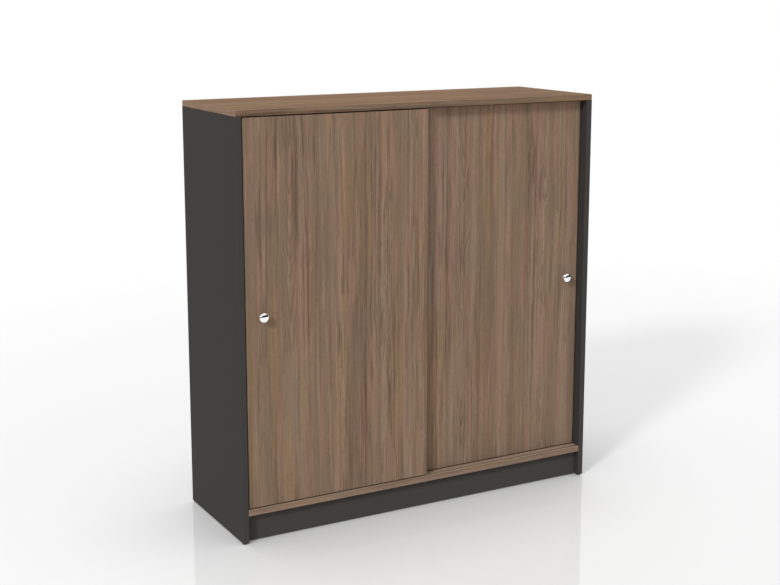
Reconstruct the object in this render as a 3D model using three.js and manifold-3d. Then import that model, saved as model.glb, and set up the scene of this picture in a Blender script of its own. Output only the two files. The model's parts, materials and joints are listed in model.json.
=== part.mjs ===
// Sliding door cabinet, 1200 mm wide and 400 mm deep, 1244 mm high on its glides.
// A charcoal melamine carcass carries a walnut top and base. Each of the two walnut doors stands on
// two roller carriages that run in a grooved-in track, and two sprung top guides hold it upright.
// Behind the doors a divider and four adjustable shelves make six bays.
// Lengths are in millimetres. X runs to the right as seen from the front, Y to the back and Z up.
// The origin is on the floor, under the middle of the box that the whole cabinet fills.

import * as THREE from 'three';
import { mergeVertices } from 'three/addons/utils/BufferGeometryUtils.js';
import Module from 'manifold-3d';

const wasm = await Module();
wasm.setup();

// Overall sizes
const cabinetWidth = 1200;
const cabinetDepth = 400;
const carcassHeight = 1240;
const boardThickness = 18;

// Gap round a piece that is fitted in a groove, pocket or bore, and the overrun of a cut
const fitGap = 0.3;
const overrun = 2;

// Plinth
const plinthHeight = 80;
const kickboardSetback = 20;
const rearRailSetback = 20;

// Back panel, in a groove
const backThickness = 6;
const backInset = 12;
const backGrooveDepth = 6;

// Doors
const doorThickness = 18;
const doorSetback = 2;
const doorSpacing = 10;
const doorSideGap = 3.5;
const doorTopGap = 3.5;
const doorBottomGap = 4;
const doorOverlap = 16;

// Knobs
const knobInset = 48;
const knobLength = 24;
const knobFootRadius = 7.5;
const knobFootThickness = 1.5;
const knobNeckRadius = 5;
const knobHeadRadius = 14.5;
const knobHeadThickness = 9;
const knobEdgeRadius = 2;
const knobScrewRadius = 2;
const knobScrewDepth = 10;

// Roller carriages, with the axle's height over the door's bottom edge
const carriageInset = 75;
const axleHeight = 5;
const axleRadius = 1.5;
const wheelWidth = 4;
const wheelHubRadius = 5;
const wheelRimDepth = 3;
const wheelWebThickness = 2;
const treadCrown = 0.8;
const wheelSpace = 1;
const housingWall = 3.7;
const housingRoof = 3;
const housingCheek = 14;
const housingScrewRadius = 2;
const housingScrewHeadRadius = 3.8;

// Bottom tracks
const bottomChannelDepth = 4.5;
const bottomTrackWall = 1.9;
const bottomTrackFloor = 1.5;

// Top guides, with a plunger that a spring holds up in the top track
const guideInset = 60;
const plungerRadius = 3.7;
const plungerShank = 14;
const plungerNose = 1.2;
const guideWall = 2;
const guideFloor = 2.5;
const guideSpringSpace = 5;
const guideFlangeOverhang = 2;
const guideFlangeThickness = 1.5;
const guideEngagement = 5.5;

// Top tracks
const topChannelSpace = 3;
const topTrackWall = 1.7;
const topTrackRoof = 1.5;

// Divider and shelves
const dividerGap = 6;
const shelfSetback = 10;
const shelfRearGap = 2;
const shelfSideGap = 1;
const shelfRows = 2;

// Shelf pins and the rows of holes that they plug into
const pinRadius = 2.5;
const pinHoleWeb = 1.4;
const pinColumnInset = 37;
const pinPlateThickness = 1.6;
const pinWidth = 12;
const pinReach = 10;
const pinRise = 4;
const pinDrop = 6;
const pinCornerRadius = 2;
const pinHolePitch = 32;
const pinHolesEachWay = 2;

// Glides under the side panels
const glideHeight = 4;
const glideRadius = 8;
const glideEdgeRadius = 1.5;
const glideShankRadius = 2.5;
const glideShankLength = 14;
const glideInset = 11;

// Facets of the round pieces
const knobSides = 24;
const knobCurveSteps = 4;
const wheelSides = 20;
const pocketArcSteps = 6;
const boreSides = 12;
const pinSides = 8;
const treadShares = [-1, -0.5, 0, 0.5, 1];

// Places that follow from the sizes, with Z counted from the side panels' bottom edges
const innerWidth = cabinetWidth - 2 * boardThickness;
const innerRight = innerWidth / 2;
const sideHeight = carcassHeight - boardThickness;
const baseTop = plinthHeight + boardThickness;
const interiorHeight = sideHeight - baseTop;
const backRear = cabinetDepth - backInset;
const backFront = backRear - backThickness;
const doorWidth = (innerWidth - 2 * doorSideGap + doorOverlap) / 2;
const doorHeight = interiorHeight - doorTopGap - doorBottomGap;
const doorPitch = doorThickness + doorSpacing;
const frontTrackY = doorSetback + doorThickness / 2;
const trackYs = [frontTrackY, frontTrackY + doorPitch];
const dividerFront = doorSetback + doorThickness + doorPitch + dividerGap;
const bayWidth = (innerWidth - boardThickness) / 2;
const shelfFront = dividerFront + shelfSetback;
const shelfRear = backFront - shelfRearGap;
const shelfSpacing = (interiorHeight - shelfRows * boardThickness) / (shelfRows + 1);
const shelfHeights = Array.from(
  { length: shelfRows },
  (_, row) => baseTop + shelfSpacing + row * (shelfSpacing + boardThickness),
);
const pinColumns = [shelfFront + pinColumnInset, shelfRear - pinColumnInset];
const pinHoleDepth = (boardThickness - pinHoleWeb) / 2;
const glideYs = [glideInset, cabinetDepth - glideInset];
const carriageXs = [carriageInset, doorWidth - carriageInset];
const guideXs = [guideInset, doorWidth - guideInset];
const knobProud = knobLength - doorSetback;

// Sizes that the doors' gear takes from the gaps and from each other
const wheelRadius = axleHeight + doorBottomGap + bottomChannelDepth - fitGap;
const wheelSlotRadius = wheelRadius + wheelSpace;
const wheelSlotWidth = wheelWidth + 2 * fitGap;
const housingWidth = wheelSlotWidth + 2 * housingWall;
const housingLength = 2 * (wheelSlotRadius + housingCheek);
const housingHeight = axleHeight + wheelSlotRadius + housingRoof;
const bottomTrackWidth = wheelSlotWidth + 2 * bottomTrackWall;
const bottomTrackHeight = bottomChannelDepth + bottomTrackFloor;
const guideBoreRadius = plungerRadius + fitGap;
const guideRadius = guideBoreRadius + guideWall;
const plungerTravel = doorTopGap + guideEngagement - guideFlangeThickness;
const guideBoreDepth = plungerShank + plungerTravel + guideSpringSpace;
const guideLength = guideBoreDepth + guideFloor - guideFlangeThickness;
const topChannelWidth = 2 * guideBoreRadius;
const topChannelDepth = guideEngagement + topChannelSpace;
const topTrackWidth = topChannelWidth + 2 * topTrackWall;
const topTrackHeight = topChannelDepth + topTrackRoof;

// Finishes
const finish = (color, roughness, metalness) =>
  new THREE.MeshStandardMaterial({ color, roughness, metalness });
const walnut = finish('#84705e', 0.5, 0);
const charcoal = finish('#434342', 0.6, 0);
const chrome = finish('#e8e8e6', 0.08, 1);
const steel = finish('#b9babb', 0.35, 1);
const nylon = finish('#4d4138', 0.45, 0);
const blackPlastic = finish('#242322', 0.5, 0);
const brownPlastic = finish('#7b6959', 0.45, 0);

// Solid work: geometry to solid, cuts, joins, and back to geometry
function solidOf(geometry) {
  const bare = geometry.clone();
  bare.deleteAttribute('normal');
  bare.deleteAttribute('uv');
  const merged = mergeVertices(bare);
  const mesh = new wasm.Mesh({
    numProp: 3,
    vertProperties: new Float32Array(merged.attributes.position.array),
    triVerts: new Uint32Array(merged.index.array),
  });
  return new wasm.Manifold(mesh);
}

function geometryOf(solid) {
  const mesh = solid.getMesh();
  const geometry = new THREE.BufferGeometry();
  geometry.setAttribute('position', new THREE.BufferAttribute(mesh.vertProperties, 3));
  geometry.setIndex(new THREE.BufferAttribute(mesh.triVerts, 1));
  geometry.computeVertexNormals();
  return geometry;
}

function cut(body, cutters) {
  const left = cutters.reduce((solid, cutter) => solid.subtract(solidOf(cutter)), solidOf(body));
  return geometryOf(left);
}

function join(pieces) {
  const [first, ...rest] = pieces.map(solidOf);
  return geometryOf(rest.reduce((solid, piece) => solid.add(piece), first));
}

// Basic forms
function block([x0, x1], [y0, y1], [z0, z1]) {
  const box = new THREE.BoxGeometry(x1 - x0, y1 - y0, z1 - z0);
  return box.translate((x0 + x1) / 2, (y0 + y1) / 2, (z0 + z1) / 2);
}

function rod(radius, sides, start, end) {
  const along = end.clone().sub(start);
  const cylinder = new THREE.CylinderGeometry(radius, radius, along.length(), sides);
  const turn = new THREE.Quaternion().setFromUnitVectors(
    new THREE.Vector3(0, 1, 0),
    along.normalize(),
  );
  const middle = new THREE.Vector3().lerpVectors(start, end, 0.5);
  return cylinder.applyQuaternion(turn).translate(middle.x, middle.y, middle.z);
}

// A profile of [radius, height] turned about Y, or about Z
function turnedAboutY(profile, sides) {
  const points = profile.map(([radius, height]) => new THREE.Vector2(radius, height));
  return new THREE.LatheGeometry(points, sides);
}

function turnedAboutZ(profile, sides) {
  return turnedAboutY(profile, sides).rotateX(Math.PI / 2);
}

// A YZ outline drawn out along X from zero
function drawnAlongX(outline, length) {
  const shape = new THREE.Shape(outline.map(([y, z]) => new THREE.Vector2(y, z)));
  const bar = new THREE.ExtrudeGeometry(shape, { depth: length, bevelEnabled: false });
  const axes = new THREE.Matrix4().makeBasis(
    new THREE.Vector3(0, 1, 0),
    new THREE.Vector3(0, 0, 1),
    new THREE.Vector3(1, 0, 0),
  );
  return bar.applyMatrix4(axes);
}

// An upright prism with two half-round ends, centred on X and Y
function roundEnded(length, width, [z0, z1]) {
  const radius = width / 2;
  const reach = length / 2 - radius;
  const shape = new THREE.Shape();
  shape.absarc(reach, 0, radius, -Math.PI / 2, Math.PI / 2);
  shape.absarc(-reach, 0, radius, Math.PI / 2, (3 * Math.PI) / 2);
  shape.closePath();
  const options = { depth: z1 - z0, bevelEnabled: false, curveSegments: pocketArcSteps };
  return new THREE.ExtrudeGeometry(shape, options).translate(0, 0, z0);
}

function part(name, geometry, material, x = 0, y = 0, z = 0) {
  const mesh = new THREE.Mesh(geometry, material);
  mesh.name = name;
  mesh.position.set(x, y, z);
  return mesh;
}

// The two ends of the carcass, and which way along X each one's outer face looks
const ends = [
  { side: 'left', outward: -1 },
  { side: 'right', outward: 1 },
];

// Carcass panels

// The groove for the back, as a span in Y
const backGroove = [backFront - fitGap, backRear + fitGap];

// One hole for each place a pin can plug into, in a face at x, bored towards inward
function pinHoles(faceX, inward) {
  const holes = [];
  for (const height of shelfHeights) {
    for (let step = -pinHolesEachWay; step <= pinHolesEachWay; step += 1) {
      const z = height - pinRise + step * pinHolePitch;
      for (const y of pinColumns) {
        const mouth = new THREE.Vector3(faceX - inward * overrun, y, z);
        const floor = new THREE.Vector3(faceX + inward * pinHoleDepth, y, z);
        holes.push(rod(pinRadius + fitGap, pinSides, mouth, floor));
      }
    }
  }
  return holes;
}

function sidePanel(outward) {
  const innerX = outward * innerRight;
  const outerX = (outward * cabinetWidth) / 2;
  const spanX = [Math.min(innerX, outerX), Math.max(innerX, outerX)];
  const cutX = [innerX - outward * overrun, innerX + outward * backGrooveDepth];
  const grooveX = [Math.min(...cutX), Math.max(...cutX)];
  const glideBores = glideYs.map((y) =>
    rod(
      glideShankRadius + fitGap,
      boreSides,
      new THREE.Vector3((innerX + outerX) / 2, y, -overrun),
      new THREE.Vector3((innerX + outerX) / 2, y, glideShankLength + fitGap),
    ),
  );
  return cut(block(spanX, [0, cabinetDepth], [0, sideHeight]), [
    block(grooveX, backGroove, [baseTop - backGrooveDepth, sideHeight + overrun]),
    ...pinHoles(innerX, outward),
    ...glideBores,
  ]);
}

function topPanel() {
  const grooveReach = innerRight + backGrooveDepth;
  const grooveWidth = topTrackWidth + 2 * fitGap;
  const trackGrooves = trackYs.map((y) =>
    block(
      [-innerRight, innerRight],
      [y - grooveWidth / 2, y + grooveWidth / 2],
      [-overrun, topTrackHeight],
    ),
  );
  const board = block(
    [-cabinetWidth / 2, cabinetWidth / 2],
    [0, cabinetDepth],
    [0, boardThickness],
  );
  const backCut = block([-grooveReach, grooveReach], backGroove, [-overrun, backGrooveDepth]);
  return cut(board, [backCut, ...trackGrooves]);
}

function basePanel() {
  const grooveWidth = bottomTrackWidth + 2 * fitGap;
  const endX = innerRight + overrun;
  const trackGrooves = trackYs.map((y) =>
    block(
      [-endX, endX],
      [y - grooveWidth / 2, y + grooveWidth / 2],
      [boardThickness - bottomTrackHeight, boardThickness + overrun],
    ),
  );
  const board = block([-innerRight, innerRight], [0, cabinetDepth], [0, boardThickness]);
  const backCut = block([-endX, endX], backGroove, [
    boardThickness - backGrooveDepth,
    boardThickness + overrun,
  ]);
  return cut(board, [backCut, ...trackGrooves]);
}

function backPanel() {
  const reach = innerRight + backGrooveDepth - fitGap;
  const top = sideHeight + backGrooveDepth - fitGap;
  return block([-reach, reach], [backFront, backRear], [baseTop - backGrooveDepth, top]);
}

function divider() {
  const half = boardThickness / 2;
  const board = block([-half, half], [dividerFront, backFront], [baseTop, sideHeight]);
  return cut(board, [...pinHoles(-half, 1), ...pinHoles(half, -1)]);
}

function plinthBoard(frontY) {
  return block(
    [-innerRight, innerRight],
    [frontY, frontY + boardThickness],
    [0, plinthHeight],
  );
}

// What a rounded edge's middle point stands back from the sharp edge, along each face
const roundedBack = (radius) => radius * (1 - Math.SQRT1_2);

// A nail-in glide: a shank in the side panel's edge, and a button that the cabinet stands on
function glide() {
  const back = roundedBack(glideEdgeRadius);
  return turnedAboutZ(
    [
      [0, -glideHeight],
      [glideRadius - glideEdgeRadius, -glideHeight],
      [glideRadius - back, back - glideHeight],
      [glideRadius, glideEdgeRadius - glideHeight],
      [glideRadius, 0],
      [glideShankRadius, 0],
      [glideShankRadius, glideShankLength],
      [0, glideShankLength],
    ],
    boreSides,
  );
}

// Shelves and their pins
const bays = [
  { side: 'left', x: -(boardThickness + bayWidth) / 2 },
  { side: 'right', x: (boardThickness + bayWidth) / 2 },
];

function shelf() {
  const half = bayWidth / 2 - shelfSideGap;
  return block([-half, half], [shelfFront, shelfRear], [0, boardThickness]);
}

// An L-shaped plate with a round-cornered tongue under the shelf, on a shank that plugs in the wall.
// X runs out of the wall, and the origin is on the shank's axis at the wall's face.
function shelfPin() {
  const half = pinWidth / 2;
  const plate = block([0, pinPlateThickness], [-half, half], [-pinDrop, pinRise]);
  const cornerX = pinReach - pinCornerRadius;
  const cornerY = half - pinCornerRadius;
  const outline = new THREE.Shape();
  outline.moveTo(0, -half);
  outline.lineTo(cornerX, -half);
  outline.absarc(cornerX, -cornerY, pinCornerRadius, -Math.PI / 2, 0);
  outline.absarc(cornerX, cornerY, pinCornerRadius, 0, Math.PI / 2);
  outline.lineTo(0, half);
  const tongue = new THREE.ExtrudeGeometry(outline, {
    depth: pinPlateThickness,
    bevelEnabled: false,
    curveSegments: 2,
  }).translate(0, 0, pinRise - pinPlateThickness);
  const shank = rod(
    pinRadius,
    pinSides,
    new THREE.Vector3(fitGap - pinHoleDepth, 0, 0),
    new THREE.Vector3(pinPlateThickness / 2, 0, 0),
  );
  return join([plate, tongue, shank]);
}

// Tracks

// The wheel's crown and the channel's hollow follow one curve, from 0 at the middle to the crown
const crownAt = (share) => treadCrown * share * share;

function bottomTrack() {
  const half = bottomTrackWidth / 2;
  const mouth = wheelSlotWidth / 2;
  const hollow = treadShares.map((share) => [share * mouth, crownAt(share) - bottomChannelDepth]);
  const outline = [
    [-half, -bottomTrackHeight],
    [half, -bottomTrackHeight],
    [half, 0],
    [mouth, 0],
    ...hollow.reverse(),
    [-mouth, 0],
    [-half, 0],
  ];
  return drawnAlongX(outline, innerWidth - 2 * fitGap);
}

function topTrack() {
  const half = topTrackWidth / 2;
  const mouth = topChannelWidth / 2;
  const outline = [
    [-half, 0],
    [-mouth, 0],
    [-mouth, topChannelDepth],
    [mouth, topChannelDepth],
    [mouth, 0],
    [half, 0],
    [half, topTrackHeight],
    [-half, topTrackHeight],
  ];
  return drawnAlongX(outline, innerWidth - 2 * fitGap);
}

// Doors

// A door panel from its lower left corner, with its carriage pockets, guide bores and knob hole
function doorPanel(knobX) {
  const middleY = doorThickness / 2;
  const board = block([0, doorWidth], [0, doorThickness], [0, doorHeight]);
  const pockets = carriageXs.map((x) =>
    roundEnded(
      housingLength + 2 * fitGap,
      housingWidth + 2 * fitGap,
      [-overrun, housingHeight],
    ).translate(x, middleY, 0),
  );
  const guideBores = guideXs.map((x) =>
    rod(
      guideRadius + fitGap,
      boreSides,
      new THREE.Vector3(x, middleY, doorHeight - guideLength - fitGap),
      new THREE.Vector3(x, middleY, doorHeight + overrun),
    ),
  );
  const knobHole = rod(
    knobScrewRadius + fitGap,
    boreSides,
    new THREE.Vector3(knobX, -overrun, doorHeight / 2),
    new THREE.Vector3(knobX, doorThickness + overrun, doorHeight / 2),
  );
  return cut(board, [...pockets, ...guideBores, knobHole]);
}

// A turned mushroom knob, tapped for its screw, from the door's face towards the front
function knob() {
  const headBack = knobLength - knobHeadThickness;
  const domeBase = headBack + knobEdgeRadius;
  const profile = new THREE.Path();
  profile.moveTo(0, knobScrewDepth);
  profile.lineTo(knobScrewRadius, knobScrewDepth);
  profile.lineTo(knobScrewRadius, 0);
  profile.lineTo(knobFootRadius, 0);
  profile.lineTo(knobFootRadius, knobFootThickness);
  profile.quadraticCurveTo(knobNeckRadius, knobFootThickness, knobNeckRadius, headBack / 2);
  profile.quadraticCurveTo(knobNeckRadius, headBack, knobHeadRadius - knobEdgeRadius, headBack);
  profile.quadraticCurveTo(knobHeadRadius, headBack, knobHeadRadius, domeBase);
  profile.absellipse(0, domeBase, knobHeadRadius, knobLength - domeBase, 0, Math.PI / 2, false, 0);
  const points = profile.getPoints(knobCurveSteps).map(({ x, y }) => [x, y]);
  return turnedAboutY(points, knobSides).rotateX(Math.PI);
}

// A moulded carriage housing round its wheel's centre, with the axle hole and two screw holes
function carriageHousing() {
  const bottom = -axleHeight;
  const top = housingHeight - axleHeight;
  const sideY = housingWidth / 2 + overrun;
  const slotY = [-wheelSlotWidth / 2, wheelSlotWidth / 2];
  const screwX = (wheelSlotRadius + housingLength / 2) / 2;
  const screwSink = housingScrewHeadRadius - housingScrewRadius;
  const screwHole = [
    [0, bottom - overrun],
    [housingScrewHeadRadius + overrun, bottom - overrun],
    [housingScrewRadius, bottom + screwSink],
    [housingScrewRadius, top + overrun],
    [0, top + overrun],
  ];
  return cut(roundEnded(housingLength, housingWidth, [bottom, top]), [
    block([-wheelSlotRadius, wheelSlotRadius], slotY, [bottom - overrun, 0]),
    rod(
      wheelSlotRadius,
      wheelSides,
      new THREE.Vector3(0, slotY[0], 0),
      new THREE.Vector3(0, slotY[1], 0),
    ),
    rod(
      axleRadius + fitGap,
      boreSides,
      new THREE.Vector3(0, -sideY, 0),
      new THREE.Vector3(0, sideY, 0),
    ),
    turnedAboutZ(screwHole, boreSides).translate(-screwX, 0, 0),
    turnedAboutZ(screwHole, boreSides).translate(screwX, 0, 0),
  ]);
}

// A wheel with a hub, a thin web and a crowned rim, turned as one closed ring
function wheel() {
  const half = wheelWidth / 2;
  const web = wheelWebThickness / 2;
  const bore = axleRadius + fitGap;
  const rim = wheelRadius - treadCrown - wheelRimDepth;
  const tread = treadShares.map((share) => [wheelRadius - crownAt(share), share * half]);
  const ring = [
    [bore, -half],
    [wheelHubRadius, -half],
    [wheelHubRadius, -web],
    [rim, -web],
    [rim, -half],
    ...tread,
    [rim, half],
    [rim, web],
    [wheelHubRadius, web],
    [wheelHubRadius, half],
    [bore, half],
    [bore, -half],
  ];
  return turnedAboutY(ring, wheelSides);
}

function axle() {
  const half = housingWidth / 2;
  return rod(axleRadius, boreSides, new THREE.Vector3(0, -half, 0), new THREE.Vector3(0, half, 0));
}

function carriage(prefix) {
  const group = new THREE.Group();
  group.add(part(`${prefix}_roller_housing`, carriageHousing(), nylon));
  group.add(part(`${prefix}_roller_wheel`, wheel(), nylon));
  group.add(part(`${prefix}_roller_axle`, axle(), steel));
  return group;
}

// A guide body that is let into the door's top edge, from that edge, with a bore for the plunger
function guideBody() {
  return turnedAboutZ(
    [
      [0, -guideLength],
      [guideRadius, -guideLength],
      [guideRadius, 0],
      [guideRadius + guideFlangeOverhang, 0],
      [guideRadius + guideFlangeOverhang, guideFlangeThickness],
      [guideBoreRadius, guideFlangeThickness],
      [guideBoreRadius, guideFlangeThickness - guideBoreDepth],
      [0, guideFlangeThickness - guideBoreDepth],
    ],
    boreSides,
  );
}

function guidePlunger() {
  const tip = doorTopGap + guideEngagement;
  const back = roundedBack(plungerNose);
  return turnedAboutZ(
    [
      [0, guideFlangeThickness - plungerShank],
      [plungerRadius, guideFlangeThickness - plungerShank],
      [plungerRadius, tip - plungerNose],
      [plungerRadius - back, tip - back],
      [plungerRadius - plungerNose, tip],
      [0, tip],
    ],
    boreSides,
  );
}

function topGuide(prefix) {
  const group = new THREE.Group();
  group.add(part(`${prefix}_guide_body`, guideBody(), blackPlastic));
  group.add(part(`${prefix}_guide_plunger`, guidePlunger(), nylon));
  return group;
}

// A door with everything that moves with it, from the panel's lower left front corner
function door(side, knobX) {
  const group = new THREE.Group();
  const middleY = doorThickness / 2;
  group.add(part(`${side}_door_panel`, doorPanel(knobX), walnut));
  group.add(part(`${side}_door_knob`, knob(), chrome, knobX, 0, doorHeight / 2));
  ['left', 'right'].forEach((end, index) => {
    const roller = carriage(`${side}_door_${end}`);
    roller.position.set(carriageXs[index], middleY, axleHeight);
    const guide = topGuide(`${side}_door_${end}`);
    guide.position.set(guideXs[index], middleY, doorHeight);
    group.add(roller, guide);
  });
  return group;
}

// Assembly
const cabinet = new THREE.Group();
cabinet.position.set(0, (knobProud - cabinetDepth) / 2, glideHeight);

cabinet.add(part('top_panel', topPanel(), walnut, 0, 0, sideHeight));
cabinet.add(part('base_panel', basePanel(), walnut, 0, 0, plinthHeight));
cabinet.add(part('back_panel', backPanel(), charcoal));
cabinet.add(part('centre_divider', divider(), charcoal));
cabinet.add(part('kickboard', plinthBoard(kickboardSetback), charcoal));
cabinet.add(
  part('rear_plinth_rail', plinthBoard(cabinetDepth - rearRailSetback - boardThickness), charcoal),
);

for (const { side, outward } of ends) {
  cabinet.add(part(`${side}_side_panel`, sidePanel(outward), charcoal));
  glideYs.forEach((y, index) => {
    const x = outward * (innerRight + boardThickness / 2);
    const place = ['front', 'rear'][index];
    cabinet.add(part(`${side}_${place}_glide`, glide(), blackPlastic, x, y, 0));
  });
}

trackYs.forEach((y, index) => {
  const place = ['front', 'rear'][index];
  const startX = fitGap - innerRight;
  cabinet.add(part(`${place}_bottom_track`, bottomTrack(), brownPlastic, startX, y, baseTop));
  cabinet.add(part(`${place}_top_track`, topTrack(), brownPlastic, startX, y, sideHeight));
});

for (const { side, x } of bays) {
  shelfHeights.forEach((height, row) => {
    const shelfName = `${side}_shelf_${row + 1}`;
    cabinet.add(part(shelfName, shelf(), charcoal, x, 0, height));
    let count = 0;
    for (const wall of [-1, 1]) {
      for (const y of pinColumns) {
        count += 1;
        const pin = part(`${shelfName}_pin_${count}`, shelfPin(), steel);
        pin.position.set(x + (wall * bayWidth) / 2, y, height - pinRise);
        pin.rotation.z = wall > 0 ? Math.PI : 0;
        cabinet.add(pin);
      }
    }
  });
}

const leftDoor = door('left', knobInset);
leftDoor.position.set(doorSideGap - innerRight, doorSetback, baseTop + doorBottomGap);
const rightDoor = door('right', doorWidth - knobInset);
rightDoor.position.set(
  innerRight - doorSideGap - doorWidth,
  doorSetback + doorPitch,
  baseTop + doorBottomGap,
);
cabinet.add(leftDoor, rightDoor);

export default cabinet;
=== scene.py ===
# Finishes the sliding door cabinet: walnut laminate doors, top and base on a charcoal melamine
# carcass, with chromium plated knobs, nylon rollers and sprung top guides.
# Lengths are in metres. X runs to the right, Y to the back and Z up, as in the frame.

import json
import math

import bmesh
import bpy
from mathutils import Matrix, Vector

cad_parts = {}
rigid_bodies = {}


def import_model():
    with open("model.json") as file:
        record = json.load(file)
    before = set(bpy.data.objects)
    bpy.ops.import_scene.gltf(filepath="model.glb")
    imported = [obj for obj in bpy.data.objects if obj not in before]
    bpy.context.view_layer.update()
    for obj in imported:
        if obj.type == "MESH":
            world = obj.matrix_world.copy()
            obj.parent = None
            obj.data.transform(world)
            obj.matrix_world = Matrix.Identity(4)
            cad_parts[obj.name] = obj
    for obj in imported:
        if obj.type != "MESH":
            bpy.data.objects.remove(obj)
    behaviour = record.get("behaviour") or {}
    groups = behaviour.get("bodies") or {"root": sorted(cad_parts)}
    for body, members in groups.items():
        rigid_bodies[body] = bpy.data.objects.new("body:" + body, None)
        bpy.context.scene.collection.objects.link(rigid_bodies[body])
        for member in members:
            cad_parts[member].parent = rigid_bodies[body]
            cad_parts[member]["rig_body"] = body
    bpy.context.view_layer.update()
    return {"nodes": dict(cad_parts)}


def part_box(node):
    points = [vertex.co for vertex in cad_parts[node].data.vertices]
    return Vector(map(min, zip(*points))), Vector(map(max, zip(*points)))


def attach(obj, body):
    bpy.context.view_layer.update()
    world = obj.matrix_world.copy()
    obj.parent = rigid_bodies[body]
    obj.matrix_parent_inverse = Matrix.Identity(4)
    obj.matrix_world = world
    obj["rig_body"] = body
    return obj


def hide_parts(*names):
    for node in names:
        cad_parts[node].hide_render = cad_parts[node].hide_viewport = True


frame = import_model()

MM = 0.001
UP = Vector((0, 0, 1))
FRONTWARD = Vector((0, -1, 0))
BACKWARD = Vector((0, 1, 0))
RIGHTWARD = Vector((1, 0, 0))
OUTWARD = {"left": -RIGHTWARD, "right": RIGHTWARD}

# The cabinet's sides, a door's ends, and how the other repeated pieces are told apart
SIDES = ("left", "right")
ENDS = ("left", "right")
DEPTHS = ("front", "rear")
LEVELS = ("bottom", "top")
SHELF_ROWS = (1, 2)
PIN_NUMBERS = (1, 2, 3, 4)

# Rounded edges, and how finely round pieces are turned
board_arris = 0.8 * MM
top_arris = 2.0 * MM
arris_segments = 3
small_edge = 0.3 * MM
small_edge_segments = 2
turned_edge_segments = 4
turning_steps = 48
curve_steps = 20

# How edges and faces are found. A face belongs to a board's outside where its middle lies no
# further inside than the reach share of the arris.
merge_distance = 0.001 * MM
find_distance = 0.01 * MM
flat_angle = math.radians(0.5)
small_edge_angle = math.radians(50)
crease_angle = math.radians(48)
outside_reach_share = 1.5

# Knobs, from the door's face
knob_foot_radius = 7.5 * MM
knob_foot_thickness = 1.5 * MM
knob_neck_radius = 5.0 * MM
knob_head_radius = 14.5 * MM
knob_head_thickness = 9.0 * MM
knob_edge_radius = 2.0 * MM
knob_neck_fillet = 4.0 * MM
knob_foot_fillet = 1.2 * MM
knob_steps = 96
knob_edge_segments = 6

# Screws behind the knobs
knob_screw_head_radius = 4.2 * MM
knob_screw_head_height = 2.4 * MM
knob_screw_head_edge = 1.0 * MM
knob_screw_socket_radius = 1.9 * MM
knob_screw_socket_depth = 1.4 * MM
knob_screw_radius = 1.9 * MM

# Countersunk screws that hold the roller housings, from the housing's bottom face
housing_screw_head_radius = 3.5 * MM
housing_screw_head_height = 1.7 * MM
housing_screw_radius = 1.8 * MM
housing_screw_socket_radius = 1.5 * MM
housing_screw_socket_depth = 1.2 * MM
housing_screw_edge = 0.15 * MM
housing_screw_sink = 0.3 * MM
housing_screw_length = 20.0 * MM
housing_screw_reach = 21.2 * MM

# Rollers, with the tread's crown and the thin web between hub and rim
wheel_half_width = 2.0 * MM
wheel_bore_radius = 1.8 * MM
wheel_hub_radius = 5.0 * MM
wheel_web_half = 1.0 * MM
wheel_rim_depth = 3.0 * MM
wheel_tread_crown = 0.8 * MM
wheel_edge = 0.25 * MM

# Top guides
guide_bore_radius = 4.0 * MM
guide_body_radius = 6.0 * MM
guide_flange_thickness = 1.5 * MM
guide_floor = 2.5 * MM
guide_edge = 0.5 * MM
plunger_nose = 1.2 * MM

# Glides
glide_button_height = 4.0 * MM
glide_edge = 1.5 * MM
glide_shank_radius = 2.5 * MM

# Covers over the cam fittings, on the inner faces of the upright boards
cam_cover_radius = 8.5 * MM
cam_cover_thickness = 1.2 * MM
cam_cover_edge = 0.6 * MM
cam_cover_rise = 34.0 * MM
cam_cover_inset = 47.0 * MM

# Soft buffers on the doors' closing edges
buffer_radius = 4.0 * MM
buffer_thickness = 3.1 * MM
buffer_edge = 1.2 * MM
buffer_inset = 120.0 * MM

# Camera, with its angles in radians and its lens in millimetres
camera_place = (-2.0429, -3.6397, 1.567)
camera_turn = -0.5082
camera_dip = 0.1818
camera_lens = 63.55
camera_shift = -0.065
camera_near = 0.05
camera_far = 60

# The key light, and the soft light from all round
key_direction = Vector((0.75, 0.445, -0.515))
key_energy = 2.0
key_spread = math.radians(9.5)
ambient_strength = 0.78

# What polished metal mirrors of the studio. Each region has an axis, and the values of the
# direction along it at which the region starts and at which it is full.
STUDIO_REGIONS = {
    "above": ("Z", 0.34, 0.44),
    "leftward": ("X", 0.85, 0.65),
    "below": ("Z", -0.02, -0.06),
    "behind": ("Y", -0.25, 0.0),
}
studio_dark = "#1e1c1a"

# Floor: its paint, the share of its own white, the shade at the cabinet's foot, and where it
# runs out to white
floor_half_width = 9.0
floor_colour = "#ebebeb"
floor_roughness = 0.06
floor_ior = 1.7
floor_white_share = 0.32
foot_shade_reach = 0.5
foot_shade_samples = 16
fade_centre = (0.9, 0.5, 0.0)
fade_start = 1.7
fade_end = 3.4


# Node work

WHITE = (1.0, 1.0, 1.0, 1.0)

# A colour Mix node has its factor at 0, its two colours at 6 and 7, and its result at output 2
MIX_FACTOR, MIX_FROM, MIX_TO, MIX_RESULT = 0, 6, 7, 2

# Most of a noise lies between the first and the last of these values, about the middle one
NOISE_LOW, NOISE_MIDDLE, NOISE_HIGH = 0.3, 0.5, 0.7


def linear(hex_colour):
    """An sRGB colour, written in hex, as the linear colour that a socket takes."""
    channels = [int(hex_colour[start:start + 2], 16) / 255 for start in (1, 3, 5)]
    curved = [((c + 0.055) / 1.055) ** 2.4 if c > 0.04045 else c / 12.92 for c in channels]
    return (*curved, 1.0)


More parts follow.
